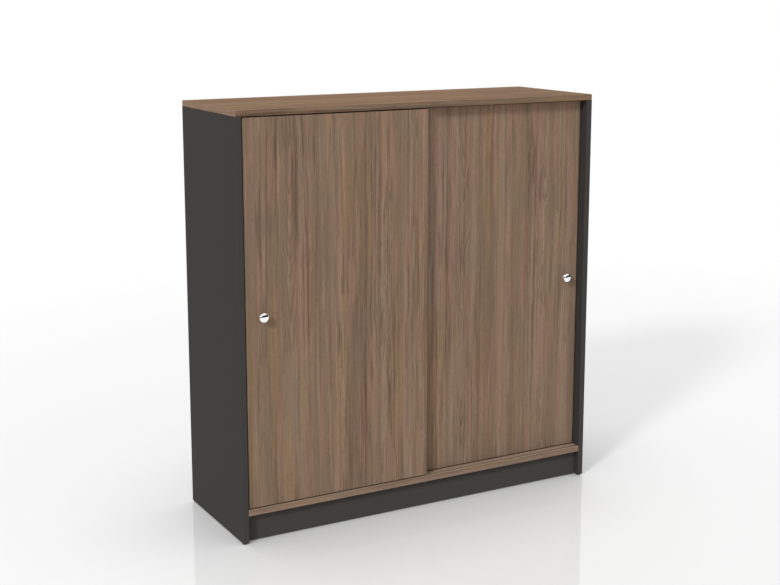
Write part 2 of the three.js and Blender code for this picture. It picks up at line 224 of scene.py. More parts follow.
def add_node(tree, kind, inputs=None, **settings):
    """Adds a node with its settings, and links or sets its inputs, by name or number."""
    node = tree.nodes.new(kind)
    for name, value in settings.items():
        setattr(node, name, value)
    for name, value in (inputs or {}).items():
        if isinstance(value, bpy.types.NodeSocket):
            tree.links.new(value, node.inputs[name])
        else:
            node.inputs[name].default_value = value
    return node


def empty_material(name):
    material = bpy.data.materials.new(name)
    material.use_nodes = True
    material.node_tree.nodes.clear()
    return material, material.node_tree


# Walnut laminate

# Each layer of the printed grain: its width across and length along the grain, and its noise's
# detail and roughness. Real pores and ticks are only a few tenths of a millimetre wide, and
# are drawn as coarse as they need to be to show.
GRAIN_LAYERS = {
    "bands": (56 * MM, 4200 * MM, 2.0, 0.5),
    "warmth": (26 * MM, 420 * MM, 2.0, 0.5),
    "ochre": (28 * MM, 560 * MM, 2.0, 0.5),
    "gathering": (62 * MM, 900 * MM, 1.0, 0.5),
    "streaks": (13 * MM, 3800 * MM, 2.0, 0.6),
    "lines": (7.5 * MM, 480 * MM, 2.0, 0.6),
    "threads": (4.6 * MM, 180 * MM, 1.0, 0.5),
    "glints": (8.0 * MM, 420 * MM, 2.0, 0.6),
    "pores": (2.2 * MM, 38 * MM, 1.0, 0.5),
    "ticks": (0.8 * MM, 15 * MM, 1.0, 0.5),
    "flame_reach": (150 * MM, 300 * MM, 1.0, 0.5),
}

# How far each layer's noise is shifted from that of the layer before, in its own widths and
# lengths
LAYER_SHIFT = (7.3, 3.1, 5.7)

# From the ground colour up: a layer's tint is blended in as its noise rises from the first
# value to the second, up to the share given last
GRAIN_GROUND = "#786554"
GRAIN_STEPS = [
    ("bands", 0.34, 0.66, "#877261", 1.0),
    ("warmth", 0.50, 0.68, "#916e5f", 0.62),
    ("ochre", 0.51, 0.68, "#8d7353", 0.44),
    ("flames", 0.40, 0.95, "#5e4b3c", 0.46),
    ("streaks", 0.51, 0.62, "#665344", 0.60),
    ("lines", 0.56, 0.63, "#5b493b", 0.52),
    ("glints", 0.57, 0.70, "#9a846f", 0.45),
    ("threads", 0.58, 0.64, "#544437", 0.48),
    ("pores", 0.62, 0.74, "#5a493c", 0.34),
    ("ticks", 0.60, 0.72, "#4c3d32", 0.42),
]

# The dark streaks gather in some columns, and only the calm share is left of them elsewhere
GATHERED = ("streaks", "lines", "threads")
gathering_start = 0.38
gathering_full = 0.60
calm_share = 0.35

# How the grain wavers
waver_width = 110 * MM
waver_length = 330 * MM
waver_reach = 9 * MM

# Flames, and how strongly the reach layer has to show before there is one
flame_spacing = 148 * MM
flame_place = 150 * MM
flame_half_width = 44 * MM
flame_full_share = 0.3
flame_tip_radius = 5 * MM
flame_period = 9 * MM
flame_unevenness = 36 * MM
flame_lean = 0.12
flame_start = 0.40
flame_full = 0.52

# The press of the laminate's surface
walnut_roughness = (0.56, 0.68)
pore_depth = 0.05 * MM
pore_strength = 0.25


def wavering_grain(tree, across, through, along):
    """Where a point lies across, through and along the grain, which wavers a few millimetres
    sideways over a hand's length. Gives that place, and the noise that moves it."""
    place = add_node(tree, "ShaderNodeTexCoord").outputs["Object"]
    split = add_node(tree, "ShaderNodeSeparateXYZ", {"Vector": place})
    grain = add_node(tree, "ShaderNodeCombineXYZ", {
        "X": split.outputs[across],
        "Y": split.outputs[through],
        "Z": split.outputs[along],
    }).outputs[0]
    waver_place = add_node(tree, "ShaderNodeMapping", {
        "Vector": grain,
        "Scale": (1 / waver_width, 1 / waver_width, 1 / waver_length),
    })
    waver = add_node(tree, "ShaderNodeTexNoise", {
        "Vector": waver_place.outputs[0],
        "Scale": 1.0,
        "Detail": 3.0,
        "Roughness": 0.45,
    })
    centred = add_node(tree, "ShaderNodeVectorMath", {
        0: waver.outputs["Color"],
        1: (NOISE_MIDDLE, NOISE_MIDDLE, NOISE_MIDDLE),
    }, operation="SUBTRACT")
    wavering = add_node(tree, "ShaderNodeVectorMath", {
        0: centred.outputs[0],
        1: (2 * waver_reach, 2 * waver_reach, 0.0),
        2: grain,
    }, operation="MULTIPLY_ADD")
    return wavering.outputs[0], waver.outputs[0]


def grain_layers(tree, place):
    """The noise of each layer of the grain, drawn out along it."""
    layers = {}
    for number, (layer, (width, length, detail, roughness)) in enumerate(GRAIN_LAYERS.items()):
        layer_place = add_node(tree, "ShaderNodeMapping", {
            "Vector": place,
            "Location": [number * shift for shift in LAYER_SHIFT],
            "Scale": (1 / width, 1 / width, 1 / length),
        })
        layers[layer] = add_node(tree, "ShaderNodeTexNoise", {
            "Vector": layer_place.outputs[0],
            "Scale": 1.0,
            "Detail": detail,
            "Roughness": roughness,
        }).outputs[0]
    return layers


def flame_rings(tree, place, waver, reach):
    """Flames: growth rings cut close to the heart, which show as nested V lines in narrow
    columns, where the reach layer is high."""
    parts = add_node(tree, "ShaderNodeSeparateXYZ", {"Vector": place})
    shifted = add_node(tree, "ShaderNodeMath", {
        0: parts.outputs["X"],
        1: flame_place,
    }, operation="SUBTRACT")
    from_column = add_node(tree, "ShaderNodeMath", {
        0: shifted.outputs[0],
        1: flame_spacing,
    }, operation="PINGPONG")
    tip_corner = add_node(tree, "ShaderNodeCombineXYZ", {
        "X": from_column.outputs[0],
        "Y": flame_tip_radius,
    })
    from_heart = add_node(tree, "ShaderNodeVectorMath", {
        0: tip_corner.outputs[0],
    }, operation="LENGTH")
    climbed = add_node(tree, "ShaderNodeMath", {
        0: parts.outputs["Z"],
        1: -flame_lean,
        2: from_heart.outputs["Value"],
    }, operation="MULTIPLY_ADD")
    uneven = add_node(tree, "ShaderNodeMath", {
        0: waver,
        1: flame_unevenness,
        2: climbed.outputs[0],
    }, operation="MULTIPLY_ADD")
    ring_count = add_node(tree, "ShaderNodeMath", {
        0: uneven.outputs[0],
        1: flame_period,
    }, operation="DIVIDE")
    ring = add_node(tree, "ShaderNodeMath", {0: ring_count.outputs[0]}, operation="FRACT")
    in_column = add_node(tree, "ShaderNodeMapRange", {
        "Value": from_column.outputs[0],
        "From Min": flame_half_width,
        "From Max": flame_full_share * flame_half_width,
    }, interpolation_type="SMOOTHSTEP")
    in_reach = add_node(tree, "ShaderNodeMapRange", {
        "Value": reach,
        "From Min": flame_start,
        "From Max": flame_full,
    }, interpolation_type="SMOOTHSTEP")
    flame_strength = add_node(tree, "ShaderNodeMath", {
        0: in_column.outputs[0],
        1: in_reach.outputs[0],
    }, operation="MULTIPLY")
    return add_node(tree, "ShaderNodeMath", {
        0: ring.outputs[0],
        1: flame_strength.outputs[0],
    }, operation="MULTIPLY").outputs[0]


def printed_colour(tree, layers):
    """The printed colour: the ground with each layer's tint blended in over it."""
    gathering = add_node(tree, "ShaderNodeMapRange", {
        "Value": layers["gathering"],
        "From Min": gathering_start,
        "From Max": gathering_full,
        "To Min": calm_share,
        "To Max": 1.0,
    }, interpolation_type="SMOOTHSTEP")
    colour = linear(GRAIN_GROUND)
    for layer, low, high, tint, most in GRAIN_STEPS:
        amount = add_node(tree, "ShaderNodeMapRange", {
            "Value": layers[layer],
            "From Min": low,
            "From Max": high,
            "To Max": most,
        }, interpolation_type="SMOOTHSTEP").outputs[0]
        if layer in GATHERED:
            amount = add_node(tree, "ShaderNodeMath", {
                0: amount,
                1: gathering.outputs[0],
            }, operation="MULTIPLY").outputs[0]
        colour = add_node(tree, "ShaderNodeMix", {
            MIX_FACTOR: amount,
            MIX_FROM: colour,
            MIX_TO: linear(tint),
        }, data_type="RGBA").outputs[MIX_RESULT]
    return colour


def walnut_laminate(name, across, through, along, tone=WHITE):
    """Decor paper printed with walnut grain, pressed under clear melamine: a matt surface with
    a low-contrast figure of bands, streaks and fine dark lines that run along the grain, and
    a few slender flames. The axes say which way of the object each way of the grain lies, and
    the tone is what the printed colours are multiplied by."""
    material, tree = empty_material(name)
    grain, waver = wavering_grain(tree, across, through, along)
    layers = grain_layers(tree, grain)
    layers["flames"] = flame_rings(tree, grain, waver, layers["flame_reach"])
    toned = add_node(tree, "ShaderNodeMix", {
        MIX_FACTOR: 1.0,
        MIX_FROM: printed_colour(tree, layers),
        MIX_TO: tone,
    }, data_type="RGBA", blend_type="MULTIPLY")
    roughness = add_node(tree, "ShaderNodeMapRange", {
        "Value": layers["streaks"],
        "From Min": NOISE_LOW,
        "From Max": NOISE_HIGH,
        "To Min": walnut_roughness[0],
        "To Max": walnut_roughness[1],
    })
    bump = add_node(tree, "ShaderNodeBump", {
        "Height": layers["pores"],
        "Strength": pore_strength,
        "Distance": pore_depth,
    })
    surface = add_node(tree, "ShaderNodeBsdfPrincipled", {
        "Base Color": toned.outputs[MIX_RESULT],
        "Roughness": roughness.outputs[0],
        "IOR": 1.45,
        "Specular IOR Level": 0.01,
        "Normal": bump.outputs[0],
    })
    add_node(tree, "ShaderNodeOutputMaterial", {"Surface": surface.outputs[0]})
    return material


# Other finishes

# The flecks show where their noise rises from the first value to the second
fleck_limits = (0.42, 0.68)
grit_strength = 0.4


def speckled(name, ground, flecks, fleck_share, fleck_size, roughness, grit_size, grit_height,
             shader):
    """A moulded, pressed or plated surface: a ground colour with up to a share of fine flecks
    of a second one, over a grit that roughens it. The sizes are the spacing of the flecks and
    of the grit, which is drawn coarser than the real one so that it shows, and shader holds
    the values that are the same all over."""
    material, tree = empty_material(name)
    place = add_node(tree, "ShaderNodeTexCoord").outputs["Object"]
    fleck = add_node(tree, "ShaderNodeTexNoise", {
        "Vector": place,
        "Scale": 1 / fleck_size,
        "Detail": 3.0,
        "Roughness": 0.6,
    })
    amount = add_node(tree, "ShaderNodeMapRange", {
        "Value": fleck.outputs[0],
        "From Min": fleck_limits[0],
        "From Max": fleck_limits[1],
        "To Max": fleck_share,
    }, interpolation_type="SMOOTHSTEP")
    colour = add_node(tree, "ShaderNodeMix", {
        MIX_FACTOR: amount.outputs[0],
        MIX_FROM: linear(ground),
        MIX_TO: linear(flecks),
    }, data_type="RGBA")
    grit = add_node(tree, "ShaderNodeTexNoise", {
        "Vector": place,
        "Scale": 1 / grit_size,
        "Detail": 2.0,
    })
    rough = add_node(tree, "ShaderNodeMapRange", {
        "Value": grit.outputs[0],
        "From Min": NOISE_LOW,
        "From Max": NOISE_HIGH,
        "To Min": roughness[0],
        "To Max": roughness[1],
    })
    bump = add_node(tree, "ShaderNodeBump", {
        "Height": grit.outputs[0],
        "Strength": grit_strength,
        "Distance": grit_height,
    })
    surface = add_node(tree, "ShaderNodeBsdfPrincipled", {
        "Base Color": colour.outputs[MIX_RESULT],
        "Roughness": rough.outputs[0],
        "Normal": bump.outputs[0],
        **shader,
    })
    add_node(tree, "ShaderNodeOutputMaterial", {"Surface": surface.outputs[0]})
    return material


# The walnut runs up the doors, along the top and the base, and from front to back on the bands
# of their ends. The top's face is printed lighter and warmer than the doors, as painted light
# on the level top, and the base's much paler and greyer, as painted light and sheen on its
# strip in front of the doors. Each edge band's print is multiplied by a tone of its own.
walnut_upright = walnut_laminate("walnut_laminate_upright", across=0, through=1, along=2)
# Printed lighter and warmer: painted light on the level top
walnut_top_painted_lighter = walnut_laminate(
    "walnut_laminate_level_painted_lighter", across=1, through=2, along=0, tone=(1.15, 1.055, 0.92, 1.0),
)
# Printed much paler and greyer: painted light and sheen on the base's strip before the doors
walnut_base_painted_paler = walnut_laminate(
    "walnut_laminate_of_the_base_painted_paler", across=1, through=2, along=0, tone=(1.48, 1.58, 1.66, 1.0),
)
walnut_band = walnut_laminate(
    "walnut_edge_band", across=1, through=2, along=0, tone=(1.03, 1.06, 1.10, 1.0),
)
walnut_top_band = walnut_laminate(
    "walnut_edge_band_of_the_top", across=2, through=1, along=0, tone=(0.84, 0.84, 0.84, 1.0),
)
walnut_end_band = walnut_laminate(
    "walnut_edge_band_of_the_ends", across=2, through=0, along=1, tone=(0.88, 0.86, 0.84, 1.0),
)

# Melamine faced board with a pearl-textured press: an even dark grey, matt, faintly grained,
# and printed darker than its edge band as painted shade on the sides, which the key light
# strikes full
charcoal = speckled(
    "charcoal_melamine",
    ground="#353331",
    flecks="#383634",
    fleck_share=0.5,
    fleck_size=1.6 * MM,
    roughness=(0.60, 0.70),
    grit_size=0.9 * MM,
    grit_height=0.04 * MM,
    shader={"IOR": 1.45, "Specular IOR Level": 0.04},
)

# The edge band glued round that board: smooth and satin, and a touch lighter than the faces.
# The difference is painted light and shade, set against the key light that falls on the sides.
charcoal_band_painted_lighter = speckled(
    "charcoal_edge_band",
    ground="#3e3c3a",
    flecks="#403e3c",
    fleck_share=0.4,
    fleck_size=2.4 * MM,
    roughness=(0.54, 0.62),
    grit_size=1.4 * MM,
    grit_height=0.01 * MM,
    shader={"IOR": 1.49, "Specular IOR Level": 0.06},
)

# The back, the kickboard and the rear plinth rail have that paper with a shallow press grain,
# printed lighter as painted light on the kickboard, which stands back in the shade under the
# base
charcoal_panel_painted_lighter = speckled(
    "charcoal_melamine_panel_painted_lighter",
    ground="#42403e",
    flecks="#444240",
    fleck_share=0.5,
    fleck_size=1.6 * MM,
    roughness=(0.60, 0.70),
    grit_size=0.9 * MM,
    grit_height=0.02 * MM,
    shader={"IOR": 1.45, "Specular IOR Level": 0.04},
)

# Particleboard shows in the grooves and bores: pale chips of wood, rough and without any sheen
particleboard = speckled(
    "raw_particleboard",
    ground="#a98a63",
    flecks="#cdb38a",
    fleck_share=0.9,
    fleck_size=2.2 * MM,
    roughness=(0.85, 0.95),
    grit_size=1.2 * MM,
    grit_height=0.3 * MM,
    shader={"IOR": 1.45, "Specular IOR Level": 0.2},
)

# Zinc alloy, polished and chromium plated: a mirror, with the faintest haze from handling
chrome = speckled(
    "chromium_plated_zinc",
    ground="#f6f6f4",
    flecks="#f0f1f2",
    fleck_share=0.5,
    fleck_size=9 * MM,
    roughness=(0.03, 0.07),
    grit_size=6 * MM,
    grit_height=0.0,
    shader={"Metallic": 1.0},
)

# Steel pins and screws, barrel plated with nickel: warm grey metal with a soft, broken shine
nickel = speckled(
    "nickel_plated_steel",
    ground="#b5b2ac",
    flecks="#c4c2bd",
    fleck_share=0.6,
    fleck_size=3 * MM,
    roughness=(0.25, 0.38),
    grit_size=0.8 * MM,
    grit_height=0.01 * MM,
    shader={"Metallic": 1.0},
)

# Polyamide, dyed walnut brown and left as it leaves the mould: dark, with a satin skin
nylon = speckled(
    "moulded_brown_nylon",
    ground="#4d4138",
    flecks="#54473d",
    fleck_share=0.6,
    fleck_size=4 * MM,
    roughness=(0.36, 0.48),
    grit_size=0.7 * MM,
    grit_height=0.02 * MM,
    shader={"IOR": 1.53},
)

# Polypropylene with an eroded mould texture: near black, matt
black_plastic = speckled(
    "moulded_black_plastic",
    ground="#1f1e1d",
    flecks="#262524",
    fleck_share=0.6,
    fleck_size=3 * MM,
    roughness=(0.45, 0.58),
    grit_size=0.6 * MM,
    grit_height=0.02 * MM,
    shader={"IOR": 1.49},
)

# Rigid PVC, extruded in a brown that matches the walnut: smooth, satin
brown_plastic = speckled(
    "extruded_brown_pvc",
    ground="#7b6959",
    flecks="#806d5d",
    fleck_share=0.6,
    fleck_size=12 * MM,
    roughness=(0.34, 0.42),
    grit_size=1.5 * MM,
    grit_height=0.005 * MM,
    shader={"IOR": 1.53},
)

# A board's finish: what its faces across X, Y and Z are covered with, and its core
DOOR_FINISH = (walnut_upright, walnut_upright, walnut_band, particleboard)
TOP_FINISH = (walnut_end_band, walnut_top_band, walnut_top_painted_lighter, particleboard)
BASE_FINISH = (walnut_end_band, walnut_band, walnut_base_painted_paler, particleboard)
UPRIGHT_FINISH = (charcoal, charcoal_band_painted_lighter, charcoal_band_painted_lighter, particleboard)
LEVEL_FINISH = (charcoal_band_painted_lighter, charcoal_band_painted_lighter, charcoal, particleboard)
CROSS_FINISH = (charcoal_band_painted_lighter, charcoal_panel_painted_lighter, charcoal_band_painted_lighter, particleboard)
CORE = 3

# What the fittings of each material slot are made of
FITTING_MATERIALS = {
    "polished_chrome": chrome,
    "nickel_steel": nickel,
    "brown_nylon": nylon,
    "black_plastic": black_plastic,
    "brown_plastic": brown_plastic,
}


# Mesh work

def centre_of(node):
    low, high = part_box(node)
    return (low + high) / 2


def body_of(node):
    return frame["nodes"][node]["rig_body"]


def merged_copy(node):
    """The node's loose triangles as one closed mesh with whole flat faces."""
    bm = bmesh.new()
    bm.from_mesh(frame["nodes"][node].data)
    bmesh.ops.remove_doubles(bm, verts=bm.verts, dist=merge_distance)
    bmesh.ops.dissolve_limit(bm, angle_limit=flat_angle, verts=bm.verts, edges=bm.edges)
    return bm


def add_piece(bm, name, body, materials, replaced=()):
    """Makes the mesh a piece of the object that rides on a body."""
    mesh = bpy.data.meshes.new(name)
    bm.to_mesh(mesh)
    bm.free()
    for material in materials:
        mesh.materials.append(material)
    piece = bpy.data.objects.new(name, mesh)
    bpy.context.scene.collection.objects.link(piece)
    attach(piece, body)
    if replaced:
        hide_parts(*replaced)
    return piece


def add_fitting(bm, name, body, slot, replaced=()):
    """Makes the mesh a piece of one material, shaded smooth but for its creases."""
    piece = add_piece(bm, name, body, [FITTING_MATERIALS[slot]], replaced)
    piece.data.shade_smooth()
    piece.data.set_sharp_from_angle(angle=crease_angle)


def round_edges(bm, edges, radius, segments):
    bmesh.ops.bevel(
        bm,
        geom=edges,
        offset=radius,
        offset_type="OFFSET",
        segments=segments,
        profile=0.5,
        affect="EDGES",
        material=-1,
        clamp_overlap=True,
    )


def turned(corners, steps):
    """Turns corners of radius and height about Z. Corners on the axis close the shape, and a
    shape without any is a ring."""
    bm = bmesh.new()
    verts = [bm.verts.new((radius, 0, height)) for radius, height in corners]
    starts_on_axis = corners[0][0] == 0
    following = verts[1:] if starts_on_axis else verts[1:] + verts[:1]
    edges = [bm.edges.new(pair) for pair in zip(verts, following)]
    bmesh.ops.spin(
        bm,
        geom=verts + edges,
        cent=(0, 0, 0),
        axis=UP,
        angle=math.tau,
        steps=steps,
        use_merge=True,
    )
    bmesh.ops.remove_doubles(bm, verts=bm.verts, dist=merge_distance)
    bmesh.ops.recalc_face_normals(bm, faces=bm.faces)
    return bm


def plain_disc(radius, thickness):
    """The corners of a plain disc or pin."""
    return [(0, 0), (radius, 0), (radius, thickness), (0, thickness)]


def ring_at(bm, radius, height):
    """The edges of the circle of that radius and height about Z."""

    def on_ring(vert):
        from_circle = max(abs(vert.co.z - height), abs(vert.co.xy.length - radius))
        return from_circle < find_distance

    return [edge for edge in bm.edges if all(on_ring(vert) for vert in edge.verts)]


def turned_piece(name, corners, roundings, place, axis, body, slot, replaced=(),
                 steps=turning_steps, segments=turned_edge_segments):
    """A turned piece whose heights run from a place along an axis. Each rounding is the radius
    and height of an edge, and how far it is rounded."""
    bm = turned(corners, steps)
    for radius, height, rounding in roundings:
        round_edges(bm, ring_at(bm, radius, height), rounding, segments)
    turn = UP.rotation_difference(axis).to_matrix().to_4x4()
    bmesh.ops.transform(bm, matrix=Matrix.Translation(place) @ turn, verts=bm.verts)
    add_fitting(bm, name, body, slot, replaced)


def eased_copy(node, slot):
    """The node's own shape with its sharp edges eased."""
    bm = merged_copy(node)
    edges = [
        edge
        for edge in bm.edges
        if edge.is_manifold and edge.calc_face_angle(0.0) > small_edge_angle
    ]
    round_edges(bm, edges, small_edge, small_edge_segments)
    add_fitting(bm, f"{node}_eased", body_of(node), slot, [node])


# Boards

def outer_axis(face, low, high, reach):
    """The axis that a face of the board's outside is square to, or None inside the board."""
    centre = face.calc_center_median()
    axis = max(range(3), key=lambda a: abs(face.normal[a]))
    outside = min(abs(centre[axis] - low[axis]), abs(centre[axis] - high[axis])) < reach
    return axis if outside else None


def board(node, finish, radius=board_arris):
    """A faced board with its arrises eased, and raw core in its grooves and bores."""
    bm = merged_copy(node)
    low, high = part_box(node)

    def on_arris(edge):
        shared = [
            axis
            for axis in range(3)
            for limit in (low[axis], high[axis])
            if all(abs(vert.co[axis] - limit) < merge_distance for vert in edge.verts)
        ]
        return len(shared) == 2

    round_edges(bm, [edge for edge in bm.edges if on_arris(edge)], radius, arris_segments)
    bm.normal_update()
    for face in bm.faces:
        axis = outer_axis(face, low, high, outside_reach_share * radius)
        face.material_index = CORE if axis is None else axis
    add_piece(bm, f"{node}_faced", body_of(node), finish, [node])


def add_boards():
    board("top_panel", TOP_FINISH, top_arris)
    board("base_panel", BASE_FINISH)
    board("centre_divider", UPRIGHT_FINISH)
    for side in SIDES:
        board(f"{side}_door_panel", DOOR_FINISH)
        board(f"{side}_side_panel", UPRIGHT_FINISH)
        for row in SHELF_ROWS:
            board(f"{side}_shelf_{row}", LEVEL_FINISH)
    for node in ("back_panel", "kickboard", "rear_plinth_rail"):
        board(node, CROSS_FINISH)


def add_cam_covers():
    """Press-in caps over the cam fittings that draw the top and base to the upright boards."""
    low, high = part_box("centre_divider")
    walls = [
        ("left_side_panel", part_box("left_side_panel")[1].x, RIGHTWARD),
        ("right_side_panel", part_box("right_side_panel")[0].x, -RIGHTWARD),
        ("centre_divider", low.x, -RIGHTWARD),
    ]
    places = {
        "lower_front": (low.y + cam_cover_inset, low.z + cam_cover_rise),
        "lower_rear": (high.y - cam_cover_inset, low.z + cam_cover_rise),
        "upper_front": (low.y + cam_cover_inset, high.z - cam_cover_rise),
        "upper_rear": (high.y - cam_cover_inset, high.z - cam_cover_rise),
    }
    for wall, x, axis in walls:
        for place, (y, z) in places.items():
            turned_piece(
                f"{wall}_{place}_cam_cover",
                plain_disc(cam_cover_radius, cam_cover_thickness),
                [(cam_cover_radius, cam_cover_thickness, cam_cover_edge)],
                (x, y, z),
                axis,
                "cabinet",
                "black_plastic",
            )


# Doors' fittings

def add_knob(side):
    """A turned mushroom knob with a shallow dome, a rolled rim and a waisted neck."""
    node = f"{side}_door_knob"
    low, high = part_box(node)
    centre = centre_of(node)
    length = high.y - low.y
    head_back = length - knob_head_thickness
    dome_base = head_back + knob_edge_radius
    turns = [math.pi / 2 * step / curve_steps for step in range(curve_steps)]
    dome = [
        (knob_head_radius * math.sin(turn), dome_base + (length - dome_base) * math.cos(turn))
        for turn in turns
    ]
    turned_piece(
        f"{side}_knob_polished",
        [
            *dome,
            (knob_head_radius, dome_base),
            (knob_head_radius, head_back),
            (knob_neck_radius, head_back),
            (knob_neck_radius, knob_foot_thickness),
            (knob_foot_radius, knob_foot_thickness),
            (knob_foot_radius, 0),
            (0, 0),
        ],
        [
            (knob_head_radius, head_back, knob_edge_radius),
            (knob_neck_radius, head_back, knob_neck_fillet),
            (knob_neck_radius, knob_foot_thickness, knob_foot_fillet),
            (knob_foot_radius, knob_foot_thickness, small_edge),
        ],
        (centre.x, high.y, centre.z),
        FRONTWARD,
        body_of(node),
        "polished_chrome",
        [node],
        steps=knob_steps,
        segments=knob_edge_segments,
    )


def add_knob_screw(side):
    """The machine screw that holds the knob through the door, with its round-edged head at
    the back."""
    centre = centre_of(f"{side}_door_knob")
    low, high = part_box(f"{side}_door_panel")
    thread_end = low.y - high.y
    socket_floor = knob_screw_head_height - knob_screw_socket_depth
    turned_piece(
        f"{side}_knob_screw",
        [
            (0, thread_end),
            (knob_screw_radius, thread_end),
            (knob_screw_radius, 0),
            (knob_screw_head_radius, 0),
            (knob_screw_head_radius, knob_screw_head_height),
            (knob_screw_socket_radius, knob_screw_head_height),
            (knob_screw_socket_radius, socket_floor),
            (0, socket_floor),
        ],
        [(knob_screw_head_radius, knob_screw_head_height, knob_screw_head_edge)],
        (centre.x, high.y, centre.z),
        BACKWARD,
        f"{side}_door",
        "nickel_steel",
    )


def add_buffers(side):
    """Two soft buttons on the door's closing edge, which meet the side panel."""
    low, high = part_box(f"{side}_door_panel")
    x = low.x if side == "left" else high.x
    for place, z in (("lower", low.z + buffer_inset), ("upper", high.z - buffer_inset)):
        turned_piece(
            f"{side}_door_{place}_buffer",
            plain_disc(buffer_radius, buffer_thickness),
            [(buffer_radius, buffer_thickness, buffer_edge)],
            (x, (low.y + high.y) / 2, z),
            OUTWARD[side],
            f"{side}_door",
            "black_plastic",
        )


def add_wheel(prefix):
    """A roller with a hub, a thin web and a crowned rim."""
    node = f"{prefix}_roller_wheel"
    low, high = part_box(node)
    radius = (high.z - low.z) / 2
    rim_radius = radius - wheel_tread_crown - wheel_rim_depth
    shares = [2 * step / curve_steps - 1 for step in range(curve_steps + 1)]
    tread = [(radius - wheel_tread_crown * s * s, s * wheel_half_width) for s in shares]
    turned_piece(
        f"{prefix}_wheel_turned",
        [
            (wheel_bore_radius, -wheel_half_width),
            (wheel_hub_radius, -wheel_half_width),
            (wheel_hub_radius, -wheel_web_half),
            (rim_radius, -wheel_web_half),
            (rim_radius, -wheel_half_width),
            *tread,
            (rim_radius, wheel_half_width),
            (rim_radius, wheel_web_half),
            (wheel_hub_radius, wheel_web_half),
            (wheel_hub_radius, wheel_half_width),
            (wheel_bore_radius, wheel_half_width),
        ],
        [
            (edge_radius, height, wheel_edge)
            for edge_radius in (wheel_hub_radius, rim_radius, radius - wheel_tread_crown)
            for height in (-wheel_half_width, wheel_half_width)
        ],
        centre_of(node),
        BACKWARD,
        f"{prefix}_wheel",
        "brown_nylon",
        [node],
    )


def add_axle(prefix):
    """The pin that the roller turns on."""
    node = f"{prefix}_roller_axle"
    centre = centre_of(f"{prefix}_roller_wheel")
    low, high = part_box(node)
    radius = (high.z - low.z) / 2
    length = high.y - low.y
    turned_piece(
        f"{prefix}_axle_turned",
        plain_disc(radius, length),
        [(radius, 0, small_edge), (radius, length, small_edge)],
        (centre.x, low.y, centre.z),
        BACKWARD,
        body_of(node),
        "nickel_steel",
        [node],
    )


def add_housing_screws(prefix):
    """The two countersunk screws that hold a roller's housing in the door."""
    housing = f"{prefix}_roller_housing"
    centre = centre_of(f"{prefix}_roller_wheel")
    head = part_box(housing)[0].z + housing_screw_sink
    for end in ENDS:
        turned_piece(
            f"{prefix}_housing_{end}_screw",
            [
                (0, housing_screw_socket_depth),
                (housing_screw_socket_radius, housing_screw_socket_depth),
                (housing_screw_socket_radius, 0),
                (housing_screw_head_radius, 0),
                (housing_screw_radius, housing_screw_head_height),
                (housing_screw_radius, housing_screw_length),
                (0, housing_screw_length),
            ],
            [(housing_screw_head_radius, 0, housing_screw_edge)],
            (centre.x + OUTWARD[end].x * housing_screw_reach, centre.y, head),
            UP,
            body_of(housing),
            "nickel_steel",
        )


def add_guide_body(prefix):
    """The round guide body let into the door's top edge."""
    node = f"{prefix}_guide_body"
    low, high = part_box(node)
    centre = centre_of(node)
    height = high.z - low.z
    flange_radius = (high.x - low.x) / 2
    flange_height = height - guide_flange_thickness
    turned_piece(
        f"{prefix}_guide_body_turned",
        [
            (0, 0),
            (guide_body_radius, 0),
            (guide_body_radius, flange_height),
            (flange_radius, flange_height),
            (flange_radius, height),
            (guide_bore_radius, height),
            (guide_bore_radius, guide_floor),
            (0, guide_floor),
        ],
        [(flange_radius, height, guide_edge), (guide_bore_radius, height, small_edge)],
        (centre.x, centre.y, low.z),
        UP,
        body_of(node),
        "black_plastic",
        [node],
    )


def add_plunger(prefix):
    """The sprung plunger in the guide body's bore, with its round nose up."""
    node = f"{prefix}_guide_plunger"
    centre = centre_of(f"{prefix}_guide_body")
    low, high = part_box(node)
    radius = (high.x - low.x) / 2
    length = high.z - low.z
    turned_piece(
        f"{prefix}_plunger_turned",
        plain_disc(radius, length),
        [(radius, 0, small_edge), (radius, length, plunger_nose)],
        (centre.x, centre.y, low.z),
        UP,
        f"{prefix}_plunger",
        "brown_nylon",
        [node],
    )


# Glides

def add_glide(node):
    """A nail-in glide: a round-edged button on a plain shank."""
    low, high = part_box(node)
    centre = centre_of(node)
    radius = (high.x - low.x) / 2
    height = high.z - low.z
    turned_piece(
        f"{node}_turned",
        [
            (0, 0),
            (radius, 0),
            (radius, glide_button_height),
            (glide_shank_radius, glide_button_height),
            (glide_shank_radius, height),
            (0, height),
        ],
        [(radius, 0, glide_edge)],
        (centre.x, centre.y, low.z),
        UP,
        "cabinet",
        "black_plastic",
        [node],
    )


# Stage

def make_camera():
    """The photograph's standing view from the left, looking a little down."""
    camera = bpy.data.cameras.new("view")
    camera.lens = camera_lens
    camera.shift_y = camera_shift
    camera.clip_start = camera_near
    camera.clip_end = camera_far
    holder = bpy.data.objects.new("view", camera)
    holder.location = camera_place
    holder.rotation_euler = (math.pi / 2 - camera_dip, 0, camera_turn)
    bpy.context.scene.collection.objects.link(holder)
    bpy.context.scene.camera = holder


def make_key_light():
    """The key, from high on the left in front."""
    key = bpy.data.lights.new("key", "SUN")
    key.energy = key_energy
    key.angle = key_spread
    lamp = bpy.data.objects.new("key", key)
    lamp.rotation_euler = key_direction.to_track_quat("-Z", "Y").to_euler()
    bpy.context.scene.collection.objects.link(lamp)


